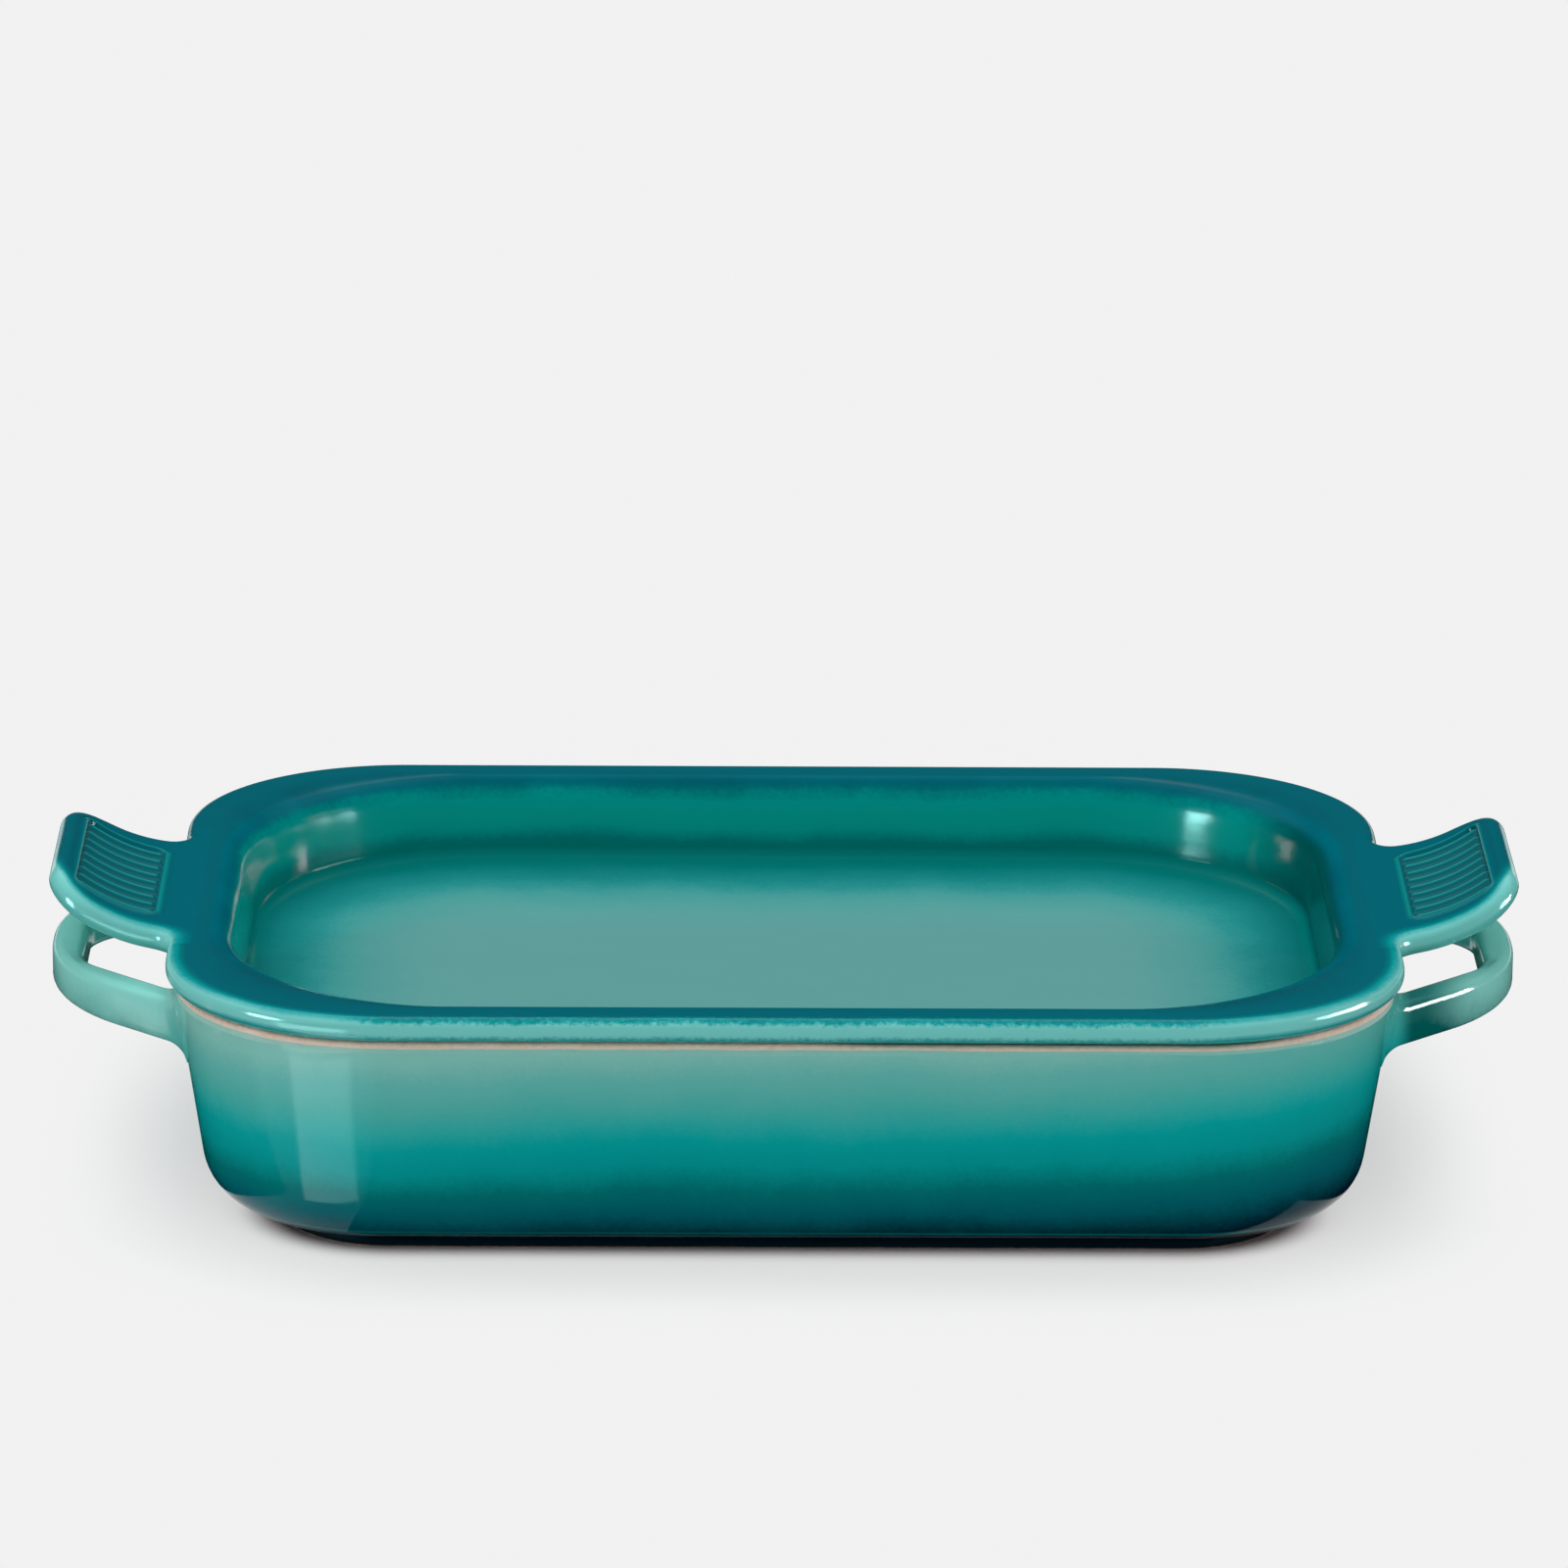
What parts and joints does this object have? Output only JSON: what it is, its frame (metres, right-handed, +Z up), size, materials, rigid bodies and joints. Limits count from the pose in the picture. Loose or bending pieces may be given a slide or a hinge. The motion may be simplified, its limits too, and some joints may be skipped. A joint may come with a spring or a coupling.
{
  "type": "covered lasagna dish",
  "caption": "Deep rectangular stoneware baking dish with loop handles and a lift-off lid that turns into a shallow platter with ribbed, upturned grips.",
  "frame": {"origin": "middle of the dish on the surface it stands on", "axes": "+X from handle to handle, +Y across the dish, +Z up"},
  "size_m": [0.376, 0.224, 0.0778],
  "materials": {
    "dish_glaze": "gloss glaze, pale grey turquoise at the rim deepening to navy at the foot",
    "bare_clay": "bare fired clay, matte tan",
    "foot_glaze": "near-black navy glaze with a bare clay standing face",
    "handle_glaze": "gloss pale turquoise glaze",
    "lid_glaze": "gloss petrol blue glaze breaking to turquoise over the rounded rim, grey teal in the well",
    "grip_glaze": "gloss petrol blue glaze, lighter on the ribs and the rounded edge"
  },
  "bodies": {
    "dish": {"dish_bowl": "dish_glaze", "dish_rim_land": "bare_clay", "dish_foot_ring": "foot_glaze", "dish_handle_left": "handle_glaze", "dish_handle_right": "handle_glaze"},
    "lid": {"lid_platter": "lid_glaze", "lid_foot_ring": "bare_clay", "lid_grip_left": "grip_glaze", "lid_grip_right": "grip_glaze"}
  },
  "joints": [
    {"name": "lid_lift", "type": "slide", "parent": "dish", "child": "lid", "axis": [0, 0, 1], "range_m": [0, 0.12]}
  ]
}
